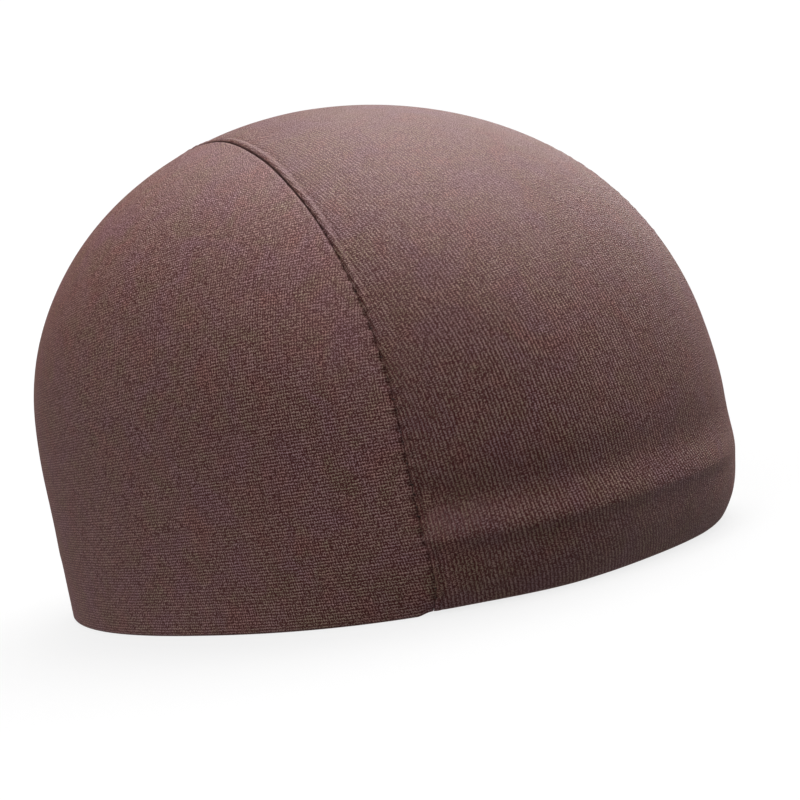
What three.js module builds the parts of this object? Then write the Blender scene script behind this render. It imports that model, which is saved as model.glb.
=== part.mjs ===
import * as THREE from 'three';

// A close-fitting cap of stretch knit in three panels: a strip that runs from the forehead over the
// crown to the nape, and a D-shaped panel over each ear. Millimetres, +Z up. The forehead faces -Y
// and the wearer's right ear -X. The hem lies flat on z = 0, and the origin is the middle of the
// cap's length and width there.

// Dome
const CAP_HEIGHT = 123.1;
const AXIS_Y = 6.8; // the dome's upright axis stands this far behind the middle of the length
const FRONT_SQUARENESS = 2.36; // exponent of the level section before the axis
const BACK_SQUARENESS = 2.22; // and behind it

// Reach from the upright axis towards the forehead, the nape and each ear: at the hem's edge and at
// the height where the wall stands upright, with the exponents of the curves from there down to the
// hem and up to the top
const OUTLINE = {
  forehead: { hem: 95.9, wall: 104.5, height: 24.4, tuck: 3.0, curve: 2.06 },
  nape: { hem: 91.5, wall: 89.4, height: 37.3, tuck: 2.0, curve: 2.04 },
  ear: { hem: 73.7, wall: 76.1, height: 54.4, tuck: 2.0, curve: 2.0 },
};

// Half the strip's width for a turn about the ear-to-ear axis, from 0 degrees at the forehead's hem
// through 90 at the crown to 180 at the nape's hem
const STRIP_WIDTH = [
  { turn: 0, half: 55.6 },
  { turn: 20, half: 58.4 },
  { turn: 40, half: 56.9 },
  { turn: 55, half: 51.6 },
  { turn: 70, half: 42.2 },
  { turn: 82, half: 32.0 },
  { turn: 95, half: 20.7 },
  { turn: 110, half: 14.6 },
  { turn: 140, half: 13.4 },
  { turn: 180, half: 16.0 },
];

// Cloth
const CLOTH = 1.2; // one layer of knit
const HEM_CLOTH = 2.4; // the hem, turned up inside to two layers
const HEM_HEIGHT = 19; // from the edge up to the turned-up layer's end
const HEM_STEP = 1; // height over which the inside steps back to one layer
const HEM_EDGE = 0.7; // how far the folded edge is rounded off on both sides
const SEAM_GAP = 0.3; // groove between two panels

// The turned-up layer's end lifts the outer layer into a soft ridge that is steep below and fades
// slowly above. It shows on the strip, and hardly on the panels over the ears.
const RIDGE = { strip: 0.5, ear: 0.2, below: 3, above: 6 };

// Mesh
const STRIP_COLUMNS = 16;
const EAR_COLUMNS = 24;
const HEM_ROWS = [0, HEM_EDGE, 6, 11.5, 16, HEM_HEIGHT, HEM_HEIGHT + HEM_STEP, 23, 27];
const CROWN_ROWS = 15;
const LEAN_START = 30; // strip rows are level up to here and lean more and more above it

const STRIP_COLOUR = '#5a4340';
const EAR_COLOUR = '#604845';
const CLOTH_ROUGHNESS = 0.85;

const HALVINGS = 50;

// Place between low and high where the test stops being true
function boundary(low, high, test) {
  for (let i = 0; i < HALVINGS; i += 1) {
    const middle = (low + high) / 2;
    if (test(middle)) {
      low = middle;
    } else {
      high = middle;
    }
  }
  return low;
}

// A power curve below the upright wall and a quarter of a superellipse above it
function reach(line, z) {
  if (z < line.height) {
    const below = (line.height - z) / line.height;
    return line.wall - (line.wall - line.hem) * below ** line.tuck;
  }
  const above = Math.min((z - line.height) / (CAP_HEIGHT - line.height), 1);
  return line.wall * (1 - above ** line.curve) ** (1 / line.curve);
}

// The level section is a superellipse: this is under 1 inside the dome and 1 on its outer face
function spread(x, y, z) {
  const line = y < 0 ? OUTLINE.forehead : OUTLINE.nape;
  const power = y < 0 ? FRONT_SQUARENESS : BACK_SQUARENESS;
  const smallest = 1e-6;
  const along = Math.abs(y) / Math.max(reach(line, z), smallest);
  const across = Math.abs(x) / Math.max(reach(OUTLINE.ear, z), smallest);
  return (along ** power + across ** power) ** (1 / power);
}

// First point of the outer face from a start inside the dome
function castOut(start, direction) {
  const longest = 250;
  const at = (t) => start.clone().addScaledVector(direction, t);
  const inside = (t) => {
    const p = at(t);
    return p.z <= CAP_HEIGHT && spread(p.x, p.y, p.z) < 1;
  };
  return at(boundary(0, longest, inside));
}

// Outward direction of the outer face, level within the hem so that its rows stay level
function outward(point) {
  const step = 0.01;
  const slope = (axis) => {
    const more = point.clone();
    const less = point.clone();
    more[axis] += step;
    less[axis] -= step;
    return spread(more.x, more.y, more.z) - spread(less.x, less.y, less.z);
  };
  const rise = point.z > HEM_HEIGHT ? slope('z') : 0;
  return new THREE.Vector3(slope('x'), slope('y'), rise).normalize();
}

// Half the strip's width at a turn, on a cubic through the rows of the table
function stripHalfWidth(turn) {
  const rows = STRIP_WIDTH;
  const last = rows.length - 1;
  const grade = (i) => {
    const before = rows[Math.max(i - 1, 0)];
    const after = rows[Math.min(i + 1, last)];
    return (after.half - before.half) / (after.turn - before.turn);
  };
  const found = rows.findIndex((row) => row.turn > turn);
  const i = found < 0 ? last - 1 : Math.max(found - 1, 0);
  const span = rows[i + 1].turn - rows[i].turn;
  const t = (turn - rows[i].turn) / span;
  const start = rows[i].half * (1 + 2 * t) * (1 - t) ** 2 + grade(i) * span * t * (1 - t) ** 2;
  const end = rows[i + 1].half * (3 - 2 * t) * t ** 2 - grade(i + 1) * span * (1 - t) * t ** 2;
  return start + end;
}

// Point of the left seam on the outer face
function seamPoint(turn) {
  const angle = THREE.MathUtils.degToRad(turn);
  const start = new THREE.Vector3(stripHalfWidth(turn), 0, 0);
  return castOut(start, new THREE.Vector3(0, -Math.cos(angle), Math.sin(angle)));
}

// Turn at which the seam is highest
function topTurn() {
  const step = 0.05;
  const climbing = (turn) => seamPoint(turn + step).z > seamPoint(turn).z;
  return boundary(60, 130, climbing);
}

// Seam stations from the hem to the top, on the forehead's side and on the nape's side at the same
// heights, closer together where the seam levels out
function seamStations() {
  const top = topTurn();
  const topHeight = seamPoint(top).z;
  const heights = [...HEM_ROWS];
  const lowest = heights[heights.length - 1];
  for (let i = 1; i < CROWN_ROWS; i += 1) {
    heights.push(lowest + (topHeight - lowest) * Math.sin((Math.PI / 2) * (i / CROWN_ROWS)));
  }
  const front = heights.map((z) => boundary(0, top, (turn) => seamPoint(turn).z <= z));
  const back = heights.map((z) => boundary(top, 180, (turn) => seamPoint(turn).z > z));
  return { top, topHeight, heights, front, back };
}

// A seam station: its point, the outward direction there and the direction across the seam
// towards the ear
function seamStation(turn) {
  const reachAlong = 0.2;
  const point = seamPoint(turn);
  const before = seamPoint(Math.max(turn - reachAlong, 0));
  const along = seamPoint(Math.min(turn + reachAlong, 180)).sub(before).normalize();
  const normal = outward(point);
  const across = new THREE.Vector3().crossVectors(along, normal).normalize();
  return { point, normal, across };
}

// Outer and inner point of the cloth over a point of the plain dome
function clothPoints(point, normal, ridge) {
  const fromEnd = point.z - HEM_HEIGHT;
  const width = fromEnd < 0 ? RIDGE.below : RIDGE.above;
  const lift = ridge * Math.exp(-((fromEnd / width) ** 2));
  const edge = HEM_EDGE * Math.max(1 - point.z / HEM_EDGE, 0);
  const layers = point.z > HEM_HEIGHT + HEM_STEP / 2 ? CLOTH : HEM_CLOTH;
  return {
    outer: point.clone().addScaledVector(normal, lift - edge),
    inner: point.clone().addScaledVector(normal, edge - layers),
  };
}

// The cloth's corner at a seam, half a groove away from the seam on the side of shift
function seamCorner(station, mirror, shift, ridge) {
  const flip = new THREE.Vector3(mirror, 1, 1);
  const cloth = clothPoints(station.point, station.normal, ridge);
  const across = station.across.clone().multiplyScalar((SEAM_GAP / 2) * shift);
  across.z = station.point.z > HEM_HEIGHT ? across.z : 0;
  return {
    outer: cloth.outer.add(across).multiply(flip),
    inner: cloth.inner.add(across).multiply(flip),
  };
}

// One row of the strip from the right seam to the left one, in a plane through both seam points
// that leans by lean degrees from level, towards the forehead (facing 1) or the nape (facing -1)
function stripRow(turn, lean, facing) {
  const station = seamStation(turn);
  const angle = THREE.MathUtils.degToRad(lean);
  const direction = new THREE.Vector3(0, -facing * Math.cos(angle), Math.sin(angle));
  const row = [];
  for (let i = 0; i <= STRIP_COLUMNS; i += 1) {
    const part = (2 * i) / STRIP_COLUMNS - 1;
    if (Math.abs(part) === 1) {
      row.push(seamCorner(station, part, -1, RIDGE.strip));
    } else {
      const start = new THREE.Vector3(station.point.x * part, station.point.y, station.point.z);
      const point = castOut(start, direction);
      row.push(clothPoints(point, outward(point), RIDGE.strip));
    }
  }
  return row;
}

function stripRows(seam) {
  const lean = (z) => 90 * THREE.MathUtils.smoothstep(z, LEAN_START, seam.topHeight);
  const count = seam.heights.length;
  const rows = [];
  for (let i = 0; i < count; i += 1) {
    rows.push(stripRow(seam.front[i], lean(seam.heights[i]), 1));
  }
  rows.push(stripRow(seam.top, 90, 1));
  for (let i = count - 1; i >= 0; i -= 1) {
    rows.push(stripRow(seam.back[i], lean(seam.heights[i]), -1));
  }
  return rows;
}

// Level rows of the panel over one ear, from seam to seam, closed by one point at the seam's top
function earRows(seam, mirror) {
  const bearing = (point) => Math.atan2(point.x, -point.y);
  const rows = seam.heights.map((z, k) => {
    const first = seamStation(seam.front[k]);
    const last = seamStation(seam.back[k]);
    const row = [];
    for (let i = 1; i < EAR_COLUMNS; i += 1) {
      const part = i / EAR_COLUMNS;
      const angle = THREE.MathUtils.lerp(bearing(first.point), bearing(last.point), part);
      const direction = new THREE.Vector3(Math.sin(angle) * mirror, -Math.cos(angle), 0);
      const point = castOut(new THREE.Vector3(0, 0, z), direction);
      row.push(clothPoints(point, outward(point), RIDGE.ear));
    }
    row.unshift(seamCorner(first, mirror, 1, RIDGE.ear));
    row.push(seamCorner(last, mirror, 1, RIDGE.ear));
    return mirror < 0 ? row.reverse() : row;
  });
  rows.push([seamCorner(seamStation(seam.top), mirror, 1, RIDGE.ear)]);
  return rows;
}

// Closed wall from rows of outer and inner points; a row of one point is a pole
function wall(rows) {
  const points = [];
  const number = (side) => rows.map((row) => row.map((pair) => points.push(pair[side]) - 1));
  const outer = number('outer');
  const inner = number('inner');
  const index = [];
  const face = (...corners) => {
    const ring = corners.filter((corner, i) => corner !== corners[(i + 1) % corners.length]);
    for (let i = 1; i + 1 < ring.length; i += 1) {
      index.push(ring[0], ring[i], ring[i + 1]);
    }
  };
  const at = (side, i, j) => side[i][Math.min(j, side[i].length - 1)];
  const lastRow = rows.length - 1;
  const lastColumn = rows[0].length - 1;
  for (let i = 0; i < lastRow; i += 1) {
    for (let j = 0; j < lastColumn; j += 1) {
      face(at(outer, i, j), at(outer, i, j + 1), at(outer, i + 1, j + 1), at(outer, i + 1, j));
      face(at(inner, i, j), at(inner, i + 1, j), at(inner, i + 1, j + 1), at(inner, i, j + 1));
    }
    face(at(outer, i, 0), at(outer, i + 1, 0), at(inner, i + 1, 0), at(inner, i, 0));
    const end = lastColumn;
    face(at(outer, i + 1, end), at(outer, i, end), at(inner, i, end), at(inner, i + 1, end));
  }
  for (let j = 0; j < lastColumn; j += 1) {
    face(at(outer, 0, j + 1), at(outer, 0, j), at(inner, 0, j), at(inner, 0, j + 1));
    if (rows[lastRow].length > 1) {
      const end = lastRow;
      face(at(outer, end, j), at(outer, end, j + 1), at(inner, end, j + 1), at(inner, end, j));
    }
  }
  const geometry = new THREE.BufferGeometry();
  geometry.setAttribute('position', new THREE.Float32BufferAttribute(
    points.flatMap((point) => point.toArray()),
    3,
  ));
  geometry.setIndex(index);
  geometry.computeVertexNormals();
  return geometry;
}

function panel(name, rows, colour) {
  const material = new THREE.MeshStandardMaterial({
    color: colour,
    roughness: CLOTH_ROUGHNESS,
    metalness: 0,
  });
  const mesh = new THREE.Mesh(wall(rows), material);
  mesh.name = name;
  return mesh;
}

const seam = seamStations();
const cap = new THREE.Group();
cap.add(panel('centre_strip', stripRows(seam), STRIP_COLOUR));
cap.add(panel('side_panel_right', earRows(seam, -1), EAR_COLOUR));
cap.add(panel('side_panel_left', earRows(seam, 1), EAR_COLOUR));
cap.position.y = AXIS_Y;

export default cap;
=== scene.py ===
import math

import bpy
import numpy as np
from mathutils import Matrix, Vector


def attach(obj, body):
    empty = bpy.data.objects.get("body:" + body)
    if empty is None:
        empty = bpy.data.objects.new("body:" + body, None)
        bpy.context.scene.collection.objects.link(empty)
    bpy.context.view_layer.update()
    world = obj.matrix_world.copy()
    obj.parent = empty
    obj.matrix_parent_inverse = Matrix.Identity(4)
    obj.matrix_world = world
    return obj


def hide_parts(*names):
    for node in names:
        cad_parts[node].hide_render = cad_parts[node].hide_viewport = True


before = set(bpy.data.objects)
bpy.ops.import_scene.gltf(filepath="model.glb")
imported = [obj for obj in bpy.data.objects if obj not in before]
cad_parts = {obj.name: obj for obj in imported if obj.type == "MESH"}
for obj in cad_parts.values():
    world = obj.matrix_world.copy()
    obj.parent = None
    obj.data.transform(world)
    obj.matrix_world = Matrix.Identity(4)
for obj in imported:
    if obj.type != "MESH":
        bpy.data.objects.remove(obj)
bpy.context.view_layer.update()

# A close-fitting knit cap: a strip from the forehead (-Y) over the crown to the nape, and a D-shaped
# panel over each ear. All shapes are worked out in millimetres and go into the meshes in metres.
mm = 0.001

dome = {
    "height": 123.1,
    "axisY": 6.8,  # the upright axis stands this far behind the origin
    "frontSquareness": 2.36,  # exponent of the level section before the axis, and behind it
    "backSquareness": 2.22,
    # reach from the axis at the hem and at the upright wall, that wall's height, and the exponents of
    # the curves below and above it
    "forehead": {"hem": 95.9, "wall": 104.5, "height": 24.4, "tuck": 3.0, "curve": 2.06},
    "nape": {"hem": 91.5, "wall": 89.4, "height": 37.3, "tuck": 2.0, "curve": 2.04},
    "ear": {"hem": 73.7, "wall": 76.1, "height": 54.4, "tuck": 2.0, "curve": 2.0},
}

# Half the strip's width for a turn about the ear-to-ear axis, forehead hem 0, crown 90, nape hem 180
stripWidth = np.array([
    (0, 55.6), (20, 58.4), (40, 56.9), (55, 51.6), (70, 42.2),
    (82, 32.0), (95, 20.7), (110, 14.6), (140, 13.4), (180, 16.0),
], dtype=[("turn", float), ("half", float)])

cloth = {
    "thickness": 1.0,  # one layer of knit
    "hemThickness": 2.1,  # the hem, turned up inside to two layers
    "hemHeight": 19.0,
    "foldRadius": 1.0,  # of the folded edge
    "ridge": 1.4,  # how far the hem's inner layer lifts the strip into a soft ridge
    "ridgeBelow": 2.6,
    "ridgeAbove": 5.0,
    "valley": 1.15,  # and how far the strip falls in above it
    "valleyAt": 28.5,
    "valleyWidth": 5.5,
    "nearSeam": 0.2,  # how much deeper both are at the seams, and how far from them that dies away
    "nearSeamReach": 13.0,
    "seamFlat": (0.4, 3.0),  # distances between which both rise to their full depth beside the seam
    "calmSide": (12, 44),  # where both flatten out towards the wearer's left, and how much
    "calmShare": 0.8,
    "earRidge": 0.15,  # the same ridge on the ear panels
    "slowEase": 0.12,  # height of the cloth's own unevenness over about 100 mm, and over about 50 mm
    "quickEase": 0.035,
    "leanFrom": 5.0,  # height below which the cloth's faces stand upright, and from which they follow
    "leanTo": 22.0,  # the dome
    "hollowShare": 0.6,  # of the relief's hollows, that the inner face follows
    "edgeGap": 0.07,  # from the seam to each panel's edge
}


# Helpers for shapes

# Reach of an outline at height z: a power curve below the upright wall, a superellipse quarter above
def reach(line, z):
    below = np.clip((line["height"] - z) / line["height"], 0, 1)
    above = np.clip((z - line["height"]) / (dome["height"] - line["height"]), 0, 1)
    low = line["wall"] - (line["wall"] - line["hem"]) * below ** line["tuck"]
    high = line["wall"] * (1 - above ** line["curve"]) ** (1 / line["curve"])
    return np.where(z < line["height"], low, high)


# Under 1 inside the dome and 1 on its face: the level section is a superellipse about the axis
def spread(p):
    x, y, z = p[..., 0], p[..., 1] - dome["axisY"], p[..., 2]
    front = y < 0
    power = np.where(front, dome["frontSquareness"], dome["backSquareness"])
    lengthReach = np.where(front, reach(dome["forehead"], z), reach(dome["nape"], z))
    along = np.abs(y) / np.maximum(lengthReach, 1e-6)
    across = np.abs(x) / np.maximum(reach(dome["ear"], z), 1e-6)
    value = (along ** power + across ** power) ** (1 / power)
    return np.where(z > dome["height"], 9.0, value)


# First point of the dome's face from each start along its direction, by halving the stretch
def castOut(start, direction, longest=250.0):
    low = np.zeros(start.shape[:-1])
    high = np.full(start.shape[:-1], longest)
    for _ in range(44):
        middle = (low + high) / 2
        inside = spread(start + direction * middle[..., None]) < 1
        low = np.where(inside, middle, low)
        high = np.where(inside, high, middle)
    return start + direction * low[..., None]


def unit(v):
    return v / np.maximum(np.linalg.norm(v, axis=-1, keepdims=True), 1e-12)


# Outward direction of the face: the slope of spread along each axis
def outward(p):
    step = 0.02
    slopes = [spread(p + step * e) - spread(p - step * e) for e in np.eye(3)]
    return unit(np.stack(slopes, -1))


# The same direction turned level towards the hem's edge, where z is the height
def levelled(normal, z):
    flat = normal * [1, 1, 0]
    return unit(flat + (normal - flat) * ease(z, cloth["leanFrom"], cloth["leanTo"])[..., None])


# Half the strip's width at a turn: a cubic through the table's rows, with their mean slopes
def stripHalfWidth(turn):
    turns, halves = stripWidth["turn"], stripWidth["half"]
    before = np.maximum(np.arange(len(turns)) - 1, 0)
    after = np.minimum(np.arange(len(turns)) + 1, len(turns) - 1)
    grade = (halves[after] - halves[before]) / (turns[after] - turns[before])
    i = np.clip(np.searchsorted(turns, turn, side="right") - 1, 0, len(turns) - 2)
    span = turns[i + 1] - turns[i]
    t = (turn - turns[i]) / span
    start = halves[i] * (1 + 2 * t) * (1 - t) ** 2 + grade[i] * span * t * (1 - t) ** 2
    end = halves[i + 1] * (3 - 2 * t) * t ** 2 - grade[i + 1] * span * (1 - t) * t ** 2
    return start + end


# Smooth step from 0 at low to 1 at high
def ease(value, low, high):
    t = np.clip((value - low) / (high - low), 0, 1)
    return t * t * (3 - 2 * t)


# A bump of height 1 at the middle that falls off as the bell curve of width
def bell(value, middle, width):
    return np.exp(-(((value - middle) / width) ** 2))


# Soft wander between -1 and 1 along a length: a sum of sines whose lengths don't repeat together
def wander(s, length, phase):
    parts = (1.0, 0.61, 0.37, 0.23)
    waves = [math.sqrt(p) * np.sin(2 * math.pi * s / (length * p) + phase * (i + 1.7))
             for i, p in enumerate(parts)]
    return sum(waves) / 2.2


# The seam on the wearer's left, from the forehead's hem to the nape's, as a fine line of points
# with the turn, the length along it, the outward direction and the direction towards the ear
def seamLine(count=1400):
    turn = np.linspace(0, 180, count)
    angle = np.radians(turn)
    start = np.stack([stripHalfWidth(turn), np.full(count, dome["axisY"]), 0 * turn], -1)
    point = castOut(start, np.stack([0 * turn, -np.cos(angle), np.sin(angle)], -1))
    length = np.concatenate([[0], np.cumsum(np.linalg.norm(np.diff(point, axis=0), axis=1))])
    normal = outward(point)
    across = unit(np.cross(unit(np.gradient(point, axis=0)), normal))
    top = int(np.argmax(point[:, 2]))
    return {"turn": turn, "point": point, "length": length, "normal": normal,
            "across": across, "top": top}


seam = seamLine()
print("stage: seam line, %.0f mm long" % seam["length"][-1])


# Distance from points to the seam and how far along it they lie, from the nearest of its points;
# both halves of the cap are alike, so x is taken without its sign
def seamDistance(p, batch=4000):
    flat = np.abs(p[..., :1]) * [1, 0, 0] + p * [0, 1, 1]
    flat = flat.reshape(-1, 3)
    line, length = seam["point"], seam["length"]
    distance = np.empty(len(flat))
    along = np.empty(len(flat))
    for i in range(0, len(flat), batch):
        part = flat[i:i + batch]
        square = ((part[:, None] - line[None]) ** 2).sum(-1)
        near = square.argmin(1)
        distance[i:i + batch] = np.sqrt(square[np.arange(len(part)), near])
        along[i:i + batch] = length[near]
    return distance.reshape(p.shape[:-1]), along.reshape(p.shape[:-1])


# What the seam's thread pulls into the cloth, in millimetres from the seam and along it: both edges
# roll in, a narrow welt stands on the strip's side with a faint groove behind it, and each stitch
# draws a dimple that is deeper towards the hem
seamShape = {
    "rollDepth": 0.55,
    "rollWidth": 0.55,
    "calmDepth": 0.22,  # shares of them that are left where the seam runs calm
    "calmWidth": 0.55,
    "hemDepth": 0.4,  # share of the depth at the hem's edge, and the lengths over which it grows
    "hemReach": (0.5, 4.5),
    "depthWander": 0.25,  # share by which it wanders
    "weltHeight": 0.30,
    "weltAt": 1.15,
    "weltWidth": 0.7,
    "weltWander": 0.3,
    "earWelt": 0.2,  # the welt's share on the ear's side
    "grooveDepth": 0.14,
    "grooveAt": 2.3,
    "grooveWidth": 0.5,
    "dimple": 0.9,  # share of the roll's depth that comes and goes with each stitch, and of its width
    "dimpleSpread": 0.2,
    "dimpleLength": 3.7,
    "stitchDrift": 0.95,  # how far the stitches shift, over the length after it
    "stitchDriftLength": 23.0,
    "pucker": 0.12,
    "puckerAt": 1.0,
    "puckerWidth": 2.0,
    "calmFrom": 70,  # length along the seam from which it grows calm, where that ends, and how calm
    "calmTo": 130,
    "calmShare": 0.85,
    "creaseWidth": 0.13,  # of the painted shade line at the seam, on each side, and how far a dimple widens it
    "creaseSwell": 0.38,
    "creaseDrift": 1.2,
    "creaseFrom": 45,  # lengths along the seam between which the line takes on its width of the crown
    "creaseTo": 95,
    "creaseEdge": 0.15,
    # painted shade: the colour laid along the seam's crease
    "creaseShadeColour": "#170806",
}


# Length along the seam as its uneven stitches count it: a quarter of a stitch more or less
def stitchLength(s):
    return s + seamShape["stitchDrift"] * wander(s, seamShape["stitchDriftLength"], 1.1)


# Height at distance d from the seam and length s along it, as a sum of bell curves of d: their heights
# beat with the stitches, and most of that fades where the seam runs calm over the crown
def seamRelief(d, s, onStrip):
    v = seamShape
    fromHem = np.minimum(s, seam["length"][-1] - s)
    low = 1 - v["calmShare"] * ease(fromHem, v["calmFrom"], v["calmTo"])
    beat = low * np.sin(2 * math.pi * stitchLength(s) / v["dimpleLength"])
    depth = v["rollDepth"] * (v["calmDepth"] + (1 - v["calmDepth"]) * low)
    depth = depth * (1 + v["dimple"] * beat + v["depthWander"] * wander(s, 7.0, 0.4))
    depth = depth * (v["hemDepth"] + (1 - v["hemDepth"]) * ease(fromHem, *v["hemReach"]))
    width = v["calmWidth"] + (1 - v["calmWidth"]) * low + v["dimpleSpread"] * beat
    roll = -depth * bell(d, 0, v["rollWidth"] * width)
    welt = v["weltHeight"] * bell(d, v["weltAt"], v["weltWidth"])
    groove = -v["grooveDepth"] * bell(d, v["grooveAt"], v["grooveWidth"])
    pucker = -v["pucker"] * beat * bell(d, v["puckerAt"], v["puckerWidth"])
    if onStrip:
        edge = welt * (1 + v["weltWander"] * wander(s, 5.2, 2.0)) + groove
    else:
        edge = welt * v["earWelt"]
    return roll + pucker + edge


# Height added to the plain dome: the hem's ridge less the hollow above it, as bell curves of the height
# z, two products of sines for the cloth's own unevenness, and the seam's relief
def clothRelief(p, onStrip):
    d, s = seamDistance(p)
    z = p[..., 2]
    width = np.where(z < cloth["hemHeight"], cloth["ridgeBelow"], cloth["ridgeAbove"])
    x, y = p[..., 0], p[..., 1]
    fold = bell(z, cloth["hemHeight"], width)
    if onStrip:
        strength = 1 + cloth["nearSeam"] * np.exp(-d / cloth["nearSeamReach"])
        strength = strength * (1 + ease(d, *cloth["seamFlat"])) / 2
        strength = strength * (1 - cloth["calmShare"] * ease(x, *cloth["calmSide"]))
        valley = cloth["valley"] * bell(z, cloth["valleyAt"], cloth["valleyWidth"])
        lift = strength * (cloth["ridge"] * fold - valley)
    else:
        lift = cloth["earRidge"] * fold
    slow = np.sin(x / 17 + 0.6 * np.sin(z / 23)) * np.sin(y / 21 + z / 29 + 1.3)
    quick = np.sin(x / 7.3 + z / 11) * np.sin(y / 8.1 - z / 9 + 0.7)
    calm = ease(z, 0, 9)
    uneven = cloth["slowEase"] * slow + cloth["quickEase"] * quick
    return lift + calm * uneven + seamRelief(d, s, onStrip)


# Lengths between the points of a grid along its rows (axis 1) or columns (axis 0), added up
def addedLengths(grid, axis):
    steps = np.linalg.norm(np.diff(grid, axis=axis), axis=-1)
    return np.cumsum(np.concatenate([0 * np.take(steps, [0], axis=axis), steps], axis=axis), axis=axis)


# Meshes

# Quads between the neighbours of one or more grids of vertex numbers
def gridQuads(grid):
    corners = [grid[..., :-1, :-1], grid[..., :-1, 1:], grid[..., 1:, 1:], grid[..., 1:, :-1]]
    return np.stack(corners, -1).reshape(-1, 4)


# One object from points in millimetres, quads and triangles of vertex numbers, and for each point the
# knit's own coordinates and its distance from the seam with its place along it, both as uv maps
def newPiece(name, points, quads, triangles, uv, material, fromSeam=None):
    corners = np.concatenate([np.ravel(quads), np.ravel(triangles)]).astype(np.int32)
    sizes = np.repeat([4, 3], [len(quads), len(triangles)])
    mesh = bpy.data.meshes.new(name)
    mesh.vertices.add(len(points))
    mesh.vertices.foreach_set("co", (points * mm).astype(np.float32).ravel())
    mesh.loops.add(len(corners))
    mesh.loops.foreach_set("vertex_index", corners)
    mesh.polygons.add(len(sizes))
    mesh.polygons.foreach_set("loop_start", (np.cumsum(sizes) - sizes).astype(np.int32))
    mesh.update(calc_edges=True)
    mesh.polygons.foreach_set("use_smooth", np.ones(len(sizes), dtype=bool))
    if fromSeam is None:
        fromSeam = np.repeat([[50.0, 0.0]], len(points), axis=0)  # far from the painted crease shade
    for layerName, values in (("knit", uv), ("seam", fromSeam)):
        layer = mesh.uv_layers.new(name=layerName)
        layer.data.foreach_set("uv", values[corners].astype(np.float32).ravel())
    mesh.materials.append(material)
    mesh.validate()
    piece = bpy.data.objects.new(name, mesh)
    bpy.context.scene.collection.objects.link(piece)
    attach(piece, "root")
    return piece


# A closed wall between an outer and an inner grid: both faces and the rim round them. With poles,
# an outer and an inner point, the last row of each face closes in one point.
def wallPiece(name, outer, inner, uv, material, poles=None):
    count = outer.shape[0] * outer.shape[1]
    a = np.arange(count).reshape(outer.shape[:2])
    b = a + count
    points = [outer.reshape(-1, 3), inner.reshape(-1, 3)]
    uvs = [uv.reshape(-1, 2), uv.reshape(-1, 2)]
    rims = [(b[0], a[0]), (a[:, 0], b[:, 0]), (b[:, -1], a[:, -1])]
    quads = [gridQuads(a), gridQuads(b)[:, ::-1]]
    triangles = np.empty((0, 3), dtype=int)
    if poles is None:
        rims.append((a[-1], b[-1]))
    else:
        tip = 2 * count + np.zeros(outer.shape[1] - 1, dtype=int)
        triangles = np.concatenate([np.stack([a[-1, :-1], a[-1, 1:], tip], -1),
                                    np.stack([b[-1, 1:], b[-1, :-1], tip + 1], -1)])
        quads.append([(a[-1, 0], tip[0], tip[0] + 1, b[-1, 0]),
                      (tip[0], a[-1, -1], b[-1, -1], tip[0] + 1)])
        points.append(poles)
        uvs.append(np.repeat(uv[-1:].mean(1), 2, axis=0))
    quads += [gridQuads(np.stack(pair)) for pair in rims]
    points = np.concatenate(points)
    distance, along = seamDistance(points)
    fromSeam = np.stack([distance, stitchLength(along)], -1)
    return newPiece(name, points, np.concatenate(quads), triangles, np.concatenate(uvs), material,
                    fromSeam)


# Closed rods from an array of rods, rings, corners and xyz: the rings are joined in turn, and each
# end closes in a point in its middle, or the last ring joins the first
def rodPiece(name, rings, uv, material, joined=False):
    rods, count, sides = rings.shape[:3]
    grid = np.arange(rods * count * sides).reshape(rods, count, sides)
    grid = np.concatenate([grid, grid[..., :1]], 2)
    points, uv = rings.reshape(-1, 3), np.broadcast_to(uv, rings.shape[:3] + (2,)).reshape(-1, 2)
    triangles = np.empty((0, 3), dtype=int)
    if joined:
        grid = np.concatenate([grid, grid[:, :1]], 1)
    else:
        first = rods * count * sides + 2 * np.arange(rods)[:, None] + np.zeros(sides, dtype=int)
        start = np.stack([grid[:, 0, 1:], grid[:, 0, :-1], first], -1)
        end = np.stack([grid[:, -1, :-1], grid[:, -1, 1:], first + 1], -1)
        triangles = np.concatenate([start, end]).reshape(-1, 3)
        points = np.concatenate([points, rings[:, [0, -1]].mean(2).reshape(-1, 3)])
        uv = np.concatenate([uv, uv[grid[:, [0, -1], 0].ravel()]])
    return newPiece(name, points, gridQuads(grid), triangles, uv, material)


# Circles about the points of threads, an array of threads, points and xyz, with the outward
# direction at each: uv is the length along and the turn round
def threadRings(path, normal, radius, joined=False, sides=6):
    along = np.roll(path, -1, 1) - np.roll(path, 1, 1) if joined else np.gradient(path, axis=1)
    side = unit(np.cross(unit(along), normal))
    lift = np.cross(side, unit(along))
    turn = np.linspace(0, 2 * math.pi, sides, endpoint=False)[:, None]
    rings = path[:, :, None] + np.asarray(radius)[..., None, None] * (
        np.cos(turn) * lift[:, :, None] + np.sin(turn) * side[:, :, None])
    length = addedLengths(path, 1)[..., None]
    uv = np.stack(np.broadcast_arrays(length, np.arange(sides) / sides), -1)
    return rings, uv


# Rows and columns of the panels

# Heights of the level rows of the hem: a rounded fold, even steps, then finer ones about the ridge
# and the end of the inner layer
def hemHeights():
    fold = cloth["foldRadius"] * (1 - np.cos(np.linspace(0, math.pi / 2, 6)))
    parts = [fold, np.arange(2.0, 15.1, 1.2), np.arange(15.9, 18.7, 0.55),
             np.array([18.8, 19.05, 19.3, 19.6]), np.arange(20.2, 30.1, 0.9)]
    return np.concatenate(parts)


# Distances from a seam at which each row has its outermost columns
seamSteps = np.array([0, 0.2, 0.4, 0.62, 0.86, 1.12, 1.4, 1.7, 2.0, 2.3, 2.65, 3.1, 3.8, 4.8, 6.2, 8.0])


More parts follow.
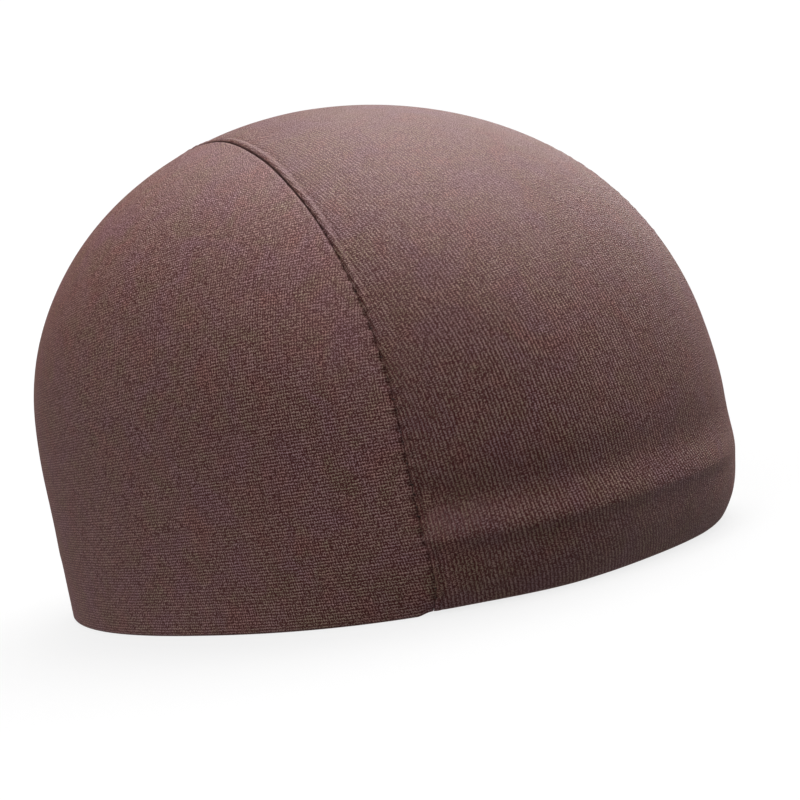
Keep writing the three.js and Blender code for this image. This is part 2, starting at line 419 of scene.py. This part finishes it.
# Base points of the strip: each row lies in a plane through both seam points of its station, level
# at the hem and leaning towards upright at the crown, and x runs across it from seam to seam
def stripGrid(middleColumns=36, rowStep=0.8):
    heights = hemHeights()
    turn, length, top = seam["turn"], seam["length"], seam["top"]
    z = seam["point"][:, 2]
    front = np.interp(heights, z[:top], turn[:top])
    back = np.interp(heights, z[:top:-1], turn[:top:-1])
    first, last = np.interp([front[-1], back[-1]], turn, length)
    crown = np.linspace(first, last, int((last - first) / rowStep) + 1)[1:-1]
    turns = np.concatenate([front, np.interp(crown, length, turn), back[::-1]])
    point, across = (np.stack([np.interp(turns, turn, seam[key][:, k]) for k in range(3)], -1)
                     for key in ("point", "across"))
    point[:, 2] = np.maximum(point[:, 2], 0)
    lean = math.pi / 2 * ease(point[:, 2], heights[-1], z.max())
    facing = np.where(turns < turn[top], -1, 1)
    direction = np.stack([0 * lean, facing * np.cos(lean), np.sin(lean)], -1)
    half = point[:, :1]
    middle = np.linspace(-1, 1, middleColumns)[None, 1:-1] * (half - seamSteps[-1])
    x = np.concatenate([seamSteps - half, middle, (half - seamSteps)[:, ::-1]], 1)
    start = np.stack([x, 0 * x + point[:, 1:2], 0 * x + point[:, 2:]], -1)
    grid = castOut(start, np.broadcast_to(direction[:, None], start.shape))
    edge = point - across * cloth["edgeGap"]
    grid[:, -1], grid[:, 0] = edge, edge * [-1, 1, 1]
    grid[..., 2] = np.maximum(grid[..., 2], 0)
    return grid


# Base points of the left ear panel: level rows from the front seam round to the back seam, with the
# columns crowded near both, up to one point at the seam's top
def earGrid(middleColumns=62, crownRows=190):
    heights = hemHeights()
    z, top = seam["point"][:, 2], seam["top"]
    rise = np.sin(np.linspace(0, math.pi / 2, crownRows + 1)[1:-1])
    heights = np.concatenate([heights, heights[-1] + (z.max() - heights[-1]) * rise])

    # Seam points and their directions towards the ear at every height, before or behind the top
    def stations(part):
        order = np.argsort(z[part])
        return [np.stack([np.interp(heights, z[part][order], seam[key][part][order, k])
                          for k in range(3)], -1) for key in ("point", "across")]

    ends = [stations(slice(0, top)), stations(slice(top, None))]
    radius = [np.hypot(p[:, 0], p[:, 1] - dome["axisY"])[:, None] for p, _ in ends]
    bearing = [np.arctan2(p[:, 0], dome["axisY"] - p[:, 1])[:, None] for p, _ in ends]
    rowLength = (bearing[1] - bearing[0]) * (radius[0] + radius[1]) / 2
    crowd = np.minimum(1, rowLength / (5 * seamSteps[-1]))
    low = bearing[0] + seamSteps * crowd / radius[0]
    high = bearing[1] - seamSteps[::-1] * crowd / radius[1]
    part = np.linspace(0, 1, middleColumns)[None, 1:-1]
    angle = np.concatenate([low, low[:, -1:] * (1 - part) + high[:, :1] * part, high], 1)
    level = np.broadcast_to(heights[:, None], angle.shape)
    start = np.stack([0 * angle, 0 * angle + dome["axisY"], level], -1)
    grid = castOut(start, np.stack([np.sin(angle), -np.cos(angle), 0 * angle], -1))
    for column, (point, across) in zip((0, -1), ends):
        grid[:, column] = point + across * cloth["edgeGap"]
    grid[..., 2] = np.maximum(grid[..., 2], 0)
    return grid, seam["point"][top] + seam["across"][top] * cloth["edgeGap"]


# The hem's edge: how much higher it lies along the strip than along the ear panels, over which
# distances from the seam that comes and goes, and how far up it reaches
hemStep = {"height": 0.75, "strip": (8, 40), "ear": (0.6, 4.2), "reach": 8.0}


# Outer and inner face of the cloth over base points: relief and fold go along the face's outward
# direction, which is turned level towards the hem's edge, and the inner face lies a layer or, in
# the hem, two layers below it
def clothFaces(p, onStrip):
    z = p[..., 2]
    normal = levelled(outward(p), z)
    d, _ = seamDistance(p)
    relief = clothRelief(p, onStrip)
    radius = cloth["foldRadius"]
    under = np.clip(radius - z, 0, radius)
    fold = radius - np.sqrt(radius ** 2 - under ** 2)
    single = ease(z, cloth["hemHeight"] - 0.1, cloth["hemHeight"] + 0.5)
    layers = cloth["hemThickness"] + (cloth["thickness"] - cloth["hemThickness"]) * single
    outer = p + normal * (relief - fold)[..., None]
    inner = p - normal * (layers - fold - cloth["hollowShare"] * np.minimum(relief, 0))[..., None]
    step = 1 - ease(d, *hemStep["strip" if onStrip else "ear"])
    lift = hemStep["height"] * step * (1 - ease(z, 0, hemStep["reach"]))
    outer[..., 2] += lift
    inner[..., 2] += lift
    return outer, inner


# How the strip's knit lies, for a turn about the ear-to-ear axis: millimetres from rib to rib, which
# draw together towards the crown; how far the ribs lean to the wearer's right for each degree; and
# how steeply the courses slope across the middle and bow up towards the seams
stripLay = np.array([
    (0, 1.05, 0.90, -0.16, 0.06), (5, 1.035, 0.85, -0.14, 0.07), (10, 1.01, 0.50, -0.13, 0.09),
    (15, 0.99, 0.30, -0.11, 0.10), (30, 0.98, -0.05, -0.06, 0.15), (45, 0.97, 0.0, -0.02, 0.27),
    (60, 0.92, -0.20, 0.0, 0.38), (75, 0.86, -0.40, 0.0, 0.30), (90, 0.76, -0.20, 0.0, 0.20),
    (110, 0.70, 0.0, 0.0, 0.10), (180, 0.70, 0.0, 0.0, 0.0),
], dtype=[(column, float) for column in ("turn", "spacing", "lean", "slope", "bow")])
stitchSize = {
    "stripCourse": 0.60,  # from course to course along a rib, in millimetres
    "earWale": 0.76,  # the ear panels' finer knit, across and up
    "earCourse": 0.75,
}

# How the cut of an ear panel turns its knit, for each 50 mm up and back from the ear's middle: the
# courses rise and fan towards the back, and the wales draw together and lean forward
earLay = {"rise": 0.06, "fan": 0.028, "narrow": 0.03, "lean": -0.03}


# Pattern coordinates of the strip, ribs across and courses along: u is the length across from the
# middle over the ribs' spacing, plus the ribs that the lean has carried past, and v the length from
# the forehead's hem, sloped and bowed across, over the courses' spacing
def stripUv(grid):
    turn = np.degrees(np.arctan2(grid[..., 2], dome["axisY"] - grid[..., 1]))
    turns = np.linspace(0, 180, 361)
    spacing, lean, slope, bow = (np.interp(turns, stripLay["turn"], stripLay[column])
                                 for column in ("spacing", "lean", "slope", "bow"))
    passed = np.cumsum(lean / spacing) * (turns[1] - turns[0])
    spacing, passed, slope, bow = (np.interp(turn, turns, value) for value in (spacing, passed, slope, bow))
    across = addedLengths(grid, 1)
    across = across - across[:, -1:] / 2
    along = addedLengths(grid, 0) + across * (slope + bow * across / 100)
    return np.stack([across / spacing + passed, along / stitchSize["stripCourse"]], -1)


# Pattern coordinates of an ear panel: wales by the length along a level row from the ear's middle,
# courses by the length up the ear's own outline, both turned by the panel's lay
def earUv(grid):
    length = addedLengths(grid, 1)
    bearing = np.arctan2(np.abs(grid[..., 0]), dome["axisY"] - grid[..., 1])
    middle = np.abs(bearing - math.pi / 2).argmin(1)
    u = length - length[np.arange(len(grid)), middle][:, None]
    heights = np.linspace(0, dome["height"], 600)
    outline = np.stack([reach(dome["ear"], heights), heights], -1)
    back = u / 50
    up = np.interp(grid[..., 2], heights, addedLengths(outline, 0)) / 50
    wale = back * (1 + earLay["narrow"] * up) + earLay["lean"] * up
    course = up + earLay["rise"] * back * up + earLay["fan"] * back * (1 + back) * up ** 2
    return np.stack([50 * wale / stitchSize["earWale"], 50 * course / stitchSize["earCourse"]], -1)


# Materials

# sRGB hex to linear colour
def linear(hexColour):
    parts = [int(hexColour[i:i + 2], 16) / 255 for i in (1, 3, 5)]
    return tuple(c / 12.92 if c <= 0.04045 else ((c + 0.055) / 1.055) ** 2.4 for c in parts) + (1.0,)


# Adds a node with its settings, and a link or a value for each input, in their order or by key
def addNode(tree, kind, inputs, **settings):
    made = tree.nodes.new("ShaderNode" + kind)
    for key, value in settings.items():
        setattr(made, key, value)
    for key, value in inputs.items() if isinstance(inputs, dict) else enumerate(inputs):
        if isinstance(value, bpy.types.NodeSocket):
            tree.links.new(value, made.inputs[key])
        else:
            made.inputs[key].default_value = value
    return made.outputs


# A material with an empty node tree
def newMaterial(name):
    material = bpy.data.materials.new(name)
    material.use_nodes = True
    material.node_tree.nodes.clear()
    return material, material.node_tree


# Polyester and elastane knit, piece-dyed brown: matt, each loop of yarn light on its back, greyed a little
# there as painted highlight, and dark in the gaps round it as painted shade, the loops uneven in shade, and
# a rosy bloom of fibre ends at a glancing angle
knits = {
    "ribbedKnit": {
        "gap": "#421513",  # painted shade between the ribs and the loops
        # the knit's own colour on the loops' backs, greyed a little as painted highlight
        "yarn": "#a2897e",
        "dyeRed": "#a67e73",  # slow drift of the dye towards red, olive and plum
        "dyeOlive": "#9a8571",
        "dyePlum": "#9d8083",
        "ribs": 1.15,  # how far the height goes up and down across the ribs, and along them
        "loops": 0.92,
        "crownRibs": 0.58,  # the same on the crown, where the cloth is stretched flatter
        "crownLoops": 0.55,
        "hemShare": 0.62,  # of both that is left on the hem, where the cloth lies slack and double
        "creaseHigh": 0.32,  # width of the seam's painted shade line on this cloth over the crown
        "loopShade": 0.20,  # how far single loops differ
        "fleck": 11.0,  # and the fibres on them
        "slant": 0.4,  # of the loops, in courses from one side of a rib to the other
        "depth": 0.07,  # of the relief, in millimetres
        "sheen": 0.22,
        "roughness": 0.50,
    },
    "meshKnit": {
        # painted shade between the ribs and the loops
        "gap": "#421614",
        # the knit's own colour on the loops' backs, greyed a little as painted highlight
        "yarn": "#a6877e",
        "dyeRed": "#aa7f76",
        "dyeOlive": "#9d8874",
        "dyePlum": "#a48286",
        "ribs": 0.48,
        "loops": 0.66,
        "crownRibs": 0.32,
        "crownLoops": 0.32,
        "hemShare": 1.0,
        "creaseHigh": 0.13,
        "loopShade": 0.16,
        "fleck": 7.5,
        "slant": 0.0,
        "depth": 0.06,
        "sheen": 0.16,
        "roughness": 0.50,
    },
}

# What both knits share, with lengths in millimetres
yarn = {
    # noise that the yarn and its dye follow: its length, detail and distortion
    "noises": {
        "drift": (2.6316, 1.0, 0.0),
        "fleck": (0.33333, 0.0, 0.0),
        "dyeRed": (8.3333, 2.0, 0.5),
        "dyeOlive": (6.6667, 2.0, 0.5),
        "dyePlum": (10.5263, 2.0, 0.5),
    },
    "drifts": (0.35, 0.4),  # how far the yarn wanders, in ribs and in courses
    "hem": (14, 22),  # heights between which the knit passes from the hem to the wall
    "crown": (50, 100),  # and from there to the crown
    "power": 1.6,  # of the height, which leaves the gaps a little wider than the yarn
    "dyes": {"dyeRed": 5.2, "dyeOlive": 4.8, "dyePlum": 4.4},  # how sharply patches begin
    "dyeFrom": 0.46,  # of the noise, above which a patch shows
    "gloss": 0.58,
    "glossTint": "#ffc8cc",
    "sheenRoughness": 0.45,
    "sheenTint": "#ffb4ac",
}


# The height is (1/2 + a cos(2 pi rib) + b cos(2 pi loop)) to a power, times the loop's own shade and its
# fleck. It leads the colour from the gap's painted shade to the yarn's colour, and the bump.
def knitMaterial(name):
    v, w = knits[name], seamShape
    material, tree = newMaterial(name)
    place = addNode(tree, "TexCoord", [])["Object"]
    knit, beside = (addNode(tree, "SeparateXYZ", [addNode(tree, "UVMap", [], uv_map=layer)[0]])
                    for layer in ("knit", "seam"))
    noises = {}
    for key, (length, detail, distortion) in yarn["noises"].items():
        noises[key] = addNode(tree, "TexNoise", {
            "Vector": place, "Scale": 1 / (length * mm), "Detail": detail, "Distortion": distortion})
    # the yarn wanders by about a tenth of a stitch over a few stitches
    drift = [addNode(tree, "Math", [part, 0.5], operation="SUBTRACT")[0]
             for part in addNode(tree, "SeparateXYZ", [noises["drift"][1]])]
    rib, course = (addNode(tree, "Math", [drift[k], far, knit[k]], operation="MULTIPLY_ADD")[0]
                   for k, far in enumerate(yarn["drifts"]))
    ribMiddle = addNode(tree, "Math", [rib], operation="ROUND")[0]
    fromRib = addNode(tree, "Math", [rib, ribMiddle], operation="SUBTRACT")[0]  # half in a gap
    loop = addNode(tree, "Math", [fromRib, v["slant"], course], operation="MULTIPLY_ADD")[0]
    loopMiddle = addNode(tree, "Math", [loop], operation="ROUND")[0]
    # height, length along the seam from the nearer hem, and what changes between two of these
    high = addNode(tree, "SeparateXYZ", [place])["Z"]
    high = addNode(tree, "Math", [high, mm], operation="DIVIDE")[0]
    fromHem = addNode(tree, "Math", [beside["Y"], seam["length"][-1] / 2], operation="PINGPONG")[0]
    onHem, ribs, loops, swell, width = (addNode(tree, "MapRange", values)[0] for values in (
        (high, *yarn["hem"], v["hemShare"], 1.0),
        (high, *yarn["crown"], v["ribs"] / 2, v["crownRibs"] / 2),
        (high, *yarn["crown"], v["loops"] / 2, v["crownLoops"] / 2),
        (fromHem, w["calmFrom"], w["calmTo"], w["creaseSwell"], 0.0),
        (fromHem, w["creaseFrom"], w["creaseTo"], w["creaseWidth"], v["creaseHigh"])))
    height = 0.5
    for turns, strength in ((rib, ribs), (loop, loops)):
        wave = addNode(tree, "Math", [turns, 2 * math.pi], operation="MULTIPLY")[0]
        wave = addNode(tree, "Math", [wave], operation="COSINE")[0]
        wave = addNode(tree, "Math", [wave, onHem], operation="MULTIPLY")[0]
        height = addNode(tree, "Math", [wave, strength, height], operation="MULTIPLY_ADD")[0]
    height = addNode(tree, "Math", [height, 0.0], operation="MAXIMUM")[0]
    height = addNode(tree, "Math", [height, yarn["power"]], operation="POWER")[0]
    # each loop's own shade, and the fleck of single fibres
    shade = addNode(tree, "TexWhiteNoise", {
        "Vector": addNode(tree, "CombineXYZ", [ribMiddle, loopMiddle])[0]}, noise_dimensions="2D")[0]
    fleck = addNode(tree, "Math", [noises["fleck"][0], 0.5], operation="SUBTRACT")[0]
    shade, fleck = (addNode(tree, "Math", values, operation="MULTIPLY_ADD")[0] for values in (
        (shade, 2 * v["loopShade"], 1 - v["loopShade"]), (fleck, v["fleck"], 1.0)))
    shade = addNode(tree, "Math", [shade, fleck], operation="MULTIPLY")[0]
    height = addNode(tree, "Math", [height, shade], operation="MULTIPLY")[0]
    # painted shade in the seam's crease: an even dark line over the crown, a row of dark dots at the
    # stitches below
    beat = addNode(tree, "Math", [drift[2], w["creaseDrift"], beside["Y"]], operation="MULTIPLY_ADD")[0]
    beat = addNode(tree, "Math", [beat, 2 * math.pi / w["dimpleLength"]], operation="MULTIPLY")[0]
    beat = addNode(tree, "Math", [beat], operation="SINE")[0]
    beat = addNode(tree, "Math", [beat, 0.5], operation="SUBTRACT")[0]
    width = addNode(tree, "Math", [beat, swell, width], operation="MULTIPLY_ADD")[0]
    edge = addNode(tree, "Math", [width, w["creaseEdge"]], operation="ADD")[0]
    clear = addNode(tree, "MapRange", [beside["X"], width, edge], interpolation_type="SMOOTHSTEP")[0]
    # the dye drifts over some millimetres
    colour = linear(v["yarn"])
    for dye, sharpness in yarn["dyes"].items():
        patch = addNode(tree, "Math", [noises[dye][0], yarn["dyeFrom"]], operation="SUBTRACT")[0]
        patch = addNode(tree, "Math", [patch, sharpness], operation="MULTIPLY", use_clamp=True)[0]
        colour = addNode(tree, "Mix", {0: patch, 6: colour, 7: linear(v[dye])}, data_type="RGBA")[2]
    # painted shade: the gap colour where the height is low, and the crease's shade colour along the seam
    for share, dark in ((height, v["gap"]), (clear, w["creaseShadeColour"])):
        colour = addNode(tree, "Mix", {0: share, 6: linear(dark), 7: colour}, data_type="RGBA")[2]
    # the bump is flattened under the painted crease shade
    height = addNode(tree, "Math", [height, clear], operation="MULTIPLY")[0]
    bump = addNode(tree, "Bump", {"Height": height, "Distance": v["depth"] * mm})[0]
    surface = addNode(tree, "BsdfPrincipled", {
        "Base Color": colour, "Normal": bump, "Roughness": v["roughness"],
        "Specular IOR Level": yarn["gloss"], "Specular Tint": linear(yarn["glossTint"]),
        "Sheen Weight": v["sheen"], "Sheen Roughness": yarn["sheenRoughness"],
        "Sheen Tint": linear(yarn["sheenTint"]),
    })[0]
    addNode(tree, "OutputMaterial", [surface])
    return material


# Spun polyester sewing thread, two plies twisted together, darker than the cloth, with painted shade in the
# groove between the plies
thread = {
    # the colour in the groove between the plies is painted shade; the lighter one lies on their crowns
    "colour": "#24120f",
    "light": "#41261f",
    "twist": 0.55,  # millimetres for a full turn of the plies
    "depth": 0.05,  # of the groove between them
    "roughness": 0.7,
    "sheen": 0.2,
}


def threadMaterial():
    material, tree = newMaterial("spunPolyesterThread")
    along, around, _ = addNode(tree, "SeparateXYZ", [addNode(tree, "UVMap", [], uv_map="knit")[0]])
    turns = addNode(tree, "Math", [along, 1 / thread["twist"], around], operation="MULTIPLY_ADD")[0]
    ply = addNode(tree, "Math", [turns, 4 * math.pi], operation="MULTIPLY")[0]
    ply = addNode(tree, "Math", [ply], operation="COSINE")[0]
    height = addNode(tree, "Math", [ply, 0.5, 0.5], operation="MULTIPLY_ADD")[0]
    # painted shade: the colour darkens from the plies' crowns into the groove between them
    colour = addNode(tree, "Mix", {0: height, 6: linear(thread["colour"]), 7: linear(thread["light"])},
                     data_type="RGBA")[2]
    bump = addNode(tree, "Bump", {"Height": height, "Distance": thread["depth"] * mm})[0]
    surface = addNode(tree, "BsdfPrincipled", {
        "Base Color": colour, "Normal": bump, "Roughness": thread["roughness"],
        "Sheen Weight": thread["sheen"],
    })[0]
    addNode(tree, "OutputMaterial", [surface])
    return material


ribbedKnit = knitMaterial("ribbedKnit")
meshKnit = knitMaterial("meshKnit")
sewingThread = threadMaterial()
print("stage: materials")


# Panels

mirror = np.array([-1, 1, 1])

strip = stripGrid()
stripOuter, stripInner = clothFaces(strip, True)
centreStrip = wallPiece("ribbed_centre_strip", stripOuter, stripInner, stripUv(strip), ribbedKnit)
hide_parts("centre_strip")

ear, earTop = earGrid()
earOuter, earInner = clothFaces(ear, False)
earPoles = np.concatenate(clothFaces(earTop[None], False))
leftPanel = wallPiece("ear_panel_left", earOuter, earInner, earUv(ear), meshKnit,
                      earPoles)
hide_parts("side_panel_left")
rightPanel = wallPiece("ear_panel_right", (earOuter * mirror)[:, ::-1], (earInner * mirror)[:, ::-1],
                       earUv(ear)[:, ::-1], meshKnit, earPoles * mirror)
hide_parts("side_panel_right")
print("stage: panels, %d and %d points on a face" % (strip[..., 0].size, ear[..., 0].size))


# Seams

# Points beside the left seam: at length s along it, t towards the ear, h outwards from the plain
# dome, and the outward direction there
def besideSeam(s, t, h):
    point, normal, across = (np.stack([np.interp(s, seam["length"], seam[key][:, k])
                                       for k in range(3)], -1)
                             for key in ("point", "normal", "across"))
    z = point[..., 2]
    normal = levelled(normal, z)
    place = point + across * np.asarray(t)[..., None] + normal * np.asarray(h)[..., None]
    place[..., 2] += hemStep["height"] * (1 - ease(z, 0, hemStep["reach"]))
    return place, normal


seamInside = {
    "width": 5.2,  # of the allowance, pressed towards the strip
    "thickness": 1.5,  # its two layers
    "below": 0.9,  # depth of its upper face under the plain dome
    "overEar": 0.7,  # how far it passes the seam towards the ear
    "squareness": 0.6,  # exponent of its section, which is a flat superellipse
    "uneven": 0.1,  # share by which its thickness wanders
    "coreWidth": 1.2,  # inside the hem, where it lies between the layers
    "coreThickness": 0.8,
    "coreBelow": 0.65,
    "loopPitch": 2.4,  # of the thread loops over its edge
    "loopThread": 0.13,  # radius
    "loopLean": 0.45,  # how far a loop leans along the seam, in pitches
    "loopInset": 0.15,  # how far within the allowance's edge they turn
    "rowAt": 1.6,  # of the straight row of thread, from the allowance's other edge
    "loopLift": 0.12,  # of loops and row from the cloth, and how the row goes up and down
    "rowLift": 0.16,
    "rowWave": 0.14,
    "stitchPitch": 2.7,  # of the stitches that show in the groove
    "stitchThread": 0.15,
    "stitchDepth": 0.62,
    "stitchHalf": 0.62,  # half a stitch's width across the groove, how far it slants, and how deep its
    "stitchSlant": 0.35,  # ends go
    "stitchEnds": 0.75,
    "stitchFrom": 2.4,  # distance of the first and the last from the hem's edge
    "stitchShift": 0.35,  # how far they wander along the seam, and in depth
    "stitchUneven": 0.1,
}


# A piece along the left seam and its mirror image along the right one
def bothSeams(name, rings, uv, material, slotName):
    left = rodPiece(name + "_left", rings, uv, material)
    right = rodPiece(name + "_right", (rings * mirror)[:, :, ::-1], uv[:, :, ::-1], material)
    return left, right


# The allowance: a rounded flat band carried along the seam, narrow and thin where the hem hides it
def seamAllowance(count=420, sides=20):
    v = seamInside
    s = np.linspace(1.0, seam["length"][-1] - 1.0, count)[:, None]
    z = np.interp(s, seam["length"], seam["point"][:, 2])
    full = ease(z, cloth["hemHeight"] - 1.5, cloth["hemHeight"] + 2.5)
    width = v["coreWidth"] + (v["width"] - v["coreWidth"]) * full
    thickness = v["coreThickness"] + (v["thickness"] - v["coreThickness"]) * full
    angle = np.linspace(0, -2 * math.pi, sides, endpoint=False)[None, :]
    flat, high = (np.sign(w) * np.abs(w) ** v["squareness"] for w in (np.cos(angle), np.sin(angle)))
    t = (v["overEar"] - v["width"] / 2) * full + width / 2 * flat
    low = thickness * (1 + v["uneven"] * wander(s, 9.0, 2.2))
    h = -v["coreBelow"] - (v["below"] - v["coreBelow"]) * full - low * (1 - high) / 2
    rings, _ = besideSeam(s + 0 * t, t, h)
    uv = np.stack([t / stitchSize["earWale"], s / stitchSize["earCourse"] + 0 * t], -1)
    return rings[None], uv[None]


# Thread loops over the allowance's free edge: a wave along the seam that dips round the edge, and a
# straight row of thread along its other side
def allowanceLoops(perLoop=10):
    v = seamInside
    total = seam["length"][-1]
    heights = seam["point"][:, 2]
    first = np.interp(cloth["hemHeight"] + 2.0, heights[:seam["top"]], seam["length"][:seam["top"]])
    loops = int((total - 2 * first) / v["loopPitch"])
    phase = np.linspace(0, 1, loops * perLoop + 1)
    s = first + (total - 2 * first) * phase
    swing = (1 - np.cos(2 * math.pi * loops * phase)) / 2
    s = s + v["loopLean"] * v["loopPitch"] * np.sin(4 * math.pi * loops * phase) / 2
    rowAt = v["overEar"] - v["rowAt"]
    under = -v["below"] - v["thickness"]
    t = rowAt - (v["width"] - v["rowAt"] - v["loopInset"]) * swing
    wave = besideSeam(s, t, under - v["loopLift"] + v["below"] * swing ** 8)
    row = besideSeam(s, 0 * s + rowAt, under - v["rowLift"] + v["rowWave"] * swing)
    path, normal = (np.stack(pair) for pair in zip(wave, row))
    return threadRings(path, normal, v["loopThread"])


# The stitches that show in the groove: short arches across it, a stitch length apart
def grooveStitches(points=7):
    v = seamInside
    total = seam["length"][-1]
    s = np.arange(v["stitchFrom"], total - v["stitchFrom"], v["stitchPitch"])[:, None]
    s = s + v["stitchShift"] * wander(s, 11.0, 0.9)
    part = np.linspace(-1, 1, points)[None, :]
    h = v["stitchUneven"] * wander(s, 17.0, 3.0) - v["stitchDepth"] - v["stitchEnds"] * part ** 4
    path, normal = besideSeam(s + v["stitchSlant"] * part, v["stitchHalf"] * part + 0 * s, h)
    return threadRings(path, normal, v["stitchThread"])


# Thread loops over the end of the hem's inner layer: how far they start below the hem's height, their
# height, their lean in pitches, their lift from the cloth and how far they turn over its end
hemOverlocking = {"below": 3.4, "tall": 3.7, "lean": 0.42, "lift": 0.1, "over": 0.8}


# One wave of these loops round the inside of the cap
def hemLoops(loops=216, perLoop=8):
    v = hemOverlocking
    phase = np.linspace(0, 1, loops * perLoop, endpoint=False)
    swing = (1 - np.cos(2 * math.pi * loops * phase)) / 2
    angle = 2 * math.pi * phase + v["lean"] / loops * math.pi * np.sin(4 * math.pi * loops * phase)
    z = cloth["hemHeight"] - v["below"] + v["tall"] * swing
    start = np.stack([0 * z, 0 * z + dome["axisY"], z], -1)
    place = castOut(start, np.stack([np.sin(angle), -np.cos(angle), 0 * angle], -1))
    normal = levelled(outward(place), z)
    depth = cloth["hemThickness"] + v["lift"] - v["over"] * swing ** 8
    path = place - normal * depth[..., None]
    return threadRings(path[None], -normal[None], seamInside["loopThread"], joined=True)


allowances = bothSeams("seam_allowance", *seamAllowance(), meshKnit, "panel_knit")
edgeLoops = bothSeams("allowance_overlock", *allowanceLoops(), sewingThread, "sewing_thread")
stitches = bothSeams("seam_stitches", *grooveStitches(), sewingThread, "sewing_thread")
hemRing, hemRingUv = hemLoops()
hemOverlock = rodPiece("hem_overlock", hemRing, hemRingUv, sewingThread, joined=True)
print("stage: seams, %.0f mm of each" % seam["length"][-1])


# Floor, light and camera

table = {
    "size": 60.0,  # metres each way, so that no low view takes in its edge
    "board": "#6c6c6c",  # its own colour, and its glow, which is most of its brightness
    "glow": 0.80,
    "tone": 1.02,  # brightness of what stands behind it
}


# Frosted acrylic on a light table: pale, even and matt, so that the cap's shadow on it stays soft
def paleFloor():
    mesh = bpy.data.meshes.new("pale_floor")
    half = table["size"] / 2
    mesh.from_pydata([(-half, -half, 0), (half, -half, 0), (half, half, 0), (-half, half, 0)], [],
                     [(0, 1, 2, 3)])
    material, tree = newMaterial("frosted_acrylic")
    surface = addNode(tree, "BsdfPrincipled", {
        "Base Color": linear(table["board"]), "Roughness": 0.9, "Specular IOR Level": 0.0,
        "Emission Color": linear("#ffffff"), "Emission Strength": table["glow"],
    })[0]
    addNode(tree, "OutputMaterial", [surface])
    mesh.materials.append(material)
    floor = bpy.data.objects.new("pale_floor", mesh)
    bpy.context.scene.collection.objects.link(floor)
    # it neither lights the cap from below nor shades it: the photograph's cap is dark at the hem
    floor.visible_diffuse = False
    floor.visible_glossy = False
    floor.visible_shadow = False


# Broad soft lights all round, as from the panels of a light tent, and the room's own from below
studio = {
    "suns": {
        "rightHigh": {"strength": 0.62, "from": (-0.574, 0.0, 0.819)},
        "rightFront": {"strength": 0.76, "from": (-0.814, -0.296, 0.5)},
        "leftFront": {"strength": 0.82, "from": (0.406, -0.406, 0.819)},
        "leftHigh": {"strength": 1.00, "from": (0.574, 0.0, 0.819)},
        "leftSide": {"strength": 0.42, "from": (0.866, 0.0, 0.5)},
        "leftLow": {"strength": 0.32, "from": (0.785, -0.453, -0.423)},
        "leftBack": {"strength": 1.55, "from": (0.406, 0.406, 0.819)},
        "behind": {"strength": 0.55, "from": (0.85, 0.38, 0.36)},
        "rightBack": {"strength": 0.28, "from": (-0.498, 0.863, 0.087)},
        "overhead": {"strength": 0.62, "from": (0.0, -0.174, 0.985)},
    },
    "angle": 40.0,  # that each spreads over, in degrees
    "above": 0.0,  # brightness of the room's upper and lower half
    "below": 0.20,
    "horizon": 0.05,  # half the height of the band between them, on a globe of radius 1
}


def makeSun(name):
    v = studio["suns"][name]
    light = bpy.data.lights.new(name, "SUN")
    light.energy = v["strength"]
    light.angle = math.radians(studio["angle"])
    sun = bpy.data.objects.new(name, light)
    sun.rotation_mode = "QUATERNION"
    sun.rotation_quaternion = Vector(v["from"]).to_track_quat("Z", "Y")
    sun.location = Vector(v["from"]).normalized()
    bpy.context.scene.collection.objects.link(sun)


# The room: its lower half lights the cap a little, and to the camera it's as pale as the floor
def makeRoom():
    world = bpy.data.worlds.new("room")
    world.use_nodes = True
    tree = world.node_tree
    tree.nodes.clear()
    direction = addNode(tree, "TexCoord", [])["Generated"]
    height = addNode(tree, "SeparateXYZ", [direction])["Z"]
    level = addNode(tree, "MapRange", [height, -studio["horizon"], studio["horizon"],
                                       studio["below"], studio["above"]])[0]
    seen = addNode(tree, "LightPath", [])["Is Camera Ray"]
    ambient, backdrop = (addNode(tree, "Background", [linear("#ffffff"), strength])[0]
                         for strength in (level, table["tone"]))
    mixed = addNode(tree, "MixShader", [seen, ambient, backdrop])[0]
    addNode(tree, "OutputWorld", [mixed])
    bpy.context.scene.world = world


paleFloor()
makeRoom()
for sunName in studio["suns"]:
    makeSun(sunName)
bpy.context.scene.view_settings.view_transform = "Standard"

# The photograph's view, found by fitting the cap's outline: from the wearer's right front, nearly
# level, held a little turned
lens = {
    "azimuth": -44.0,
    "elevation": 6.64,
    "distance": 1194.0,  # millimetres from the point that it goes round
    "round": (0.0, 6.8, 60.0),
    "aim": (7.4, -3.1, 42.9),
    "roll": -11.195,
    "length": 202.2,
}


def makeCamera():
    a, e, roll = (math.radians(lens[key]) for key in ("azimuth", "elevation", "roll"))
    back = Vector((math.sin(a) * math.cos(e), -math.cos(a) * math.cos(e), math.sin(e)))
    place = Vector(lens["round"]) + back * lens["distance"]
    look = (Vector(lens["aim"]) - place).normalized()
    right = look.cross(Vector((0, 0, 1))).normalized()
    up = right.cross(look)
    right, up = (right * math.cos(roll) + up * math.sin(roll),
                 up * math.cos(roll) - right * math.sin(roll))
    data = bpy.data.cameras.new("camera")
    data.lens = lens["length"]
    data.sensor_width = 36.0
    data.clip_end = 200.0
    camera = bpy.data.objects.new("camera", data)
    matrix = Matrix((right, up, -look)).transposed().to_4x4()
    matrix.translation = place * mm
    camera.matrix_world = matrix
    bpy.context.scene.collection.objects.link(camera)
    bpy.context.scene.camera = camera


makeCamera()
print("stage: floor, light and camera")
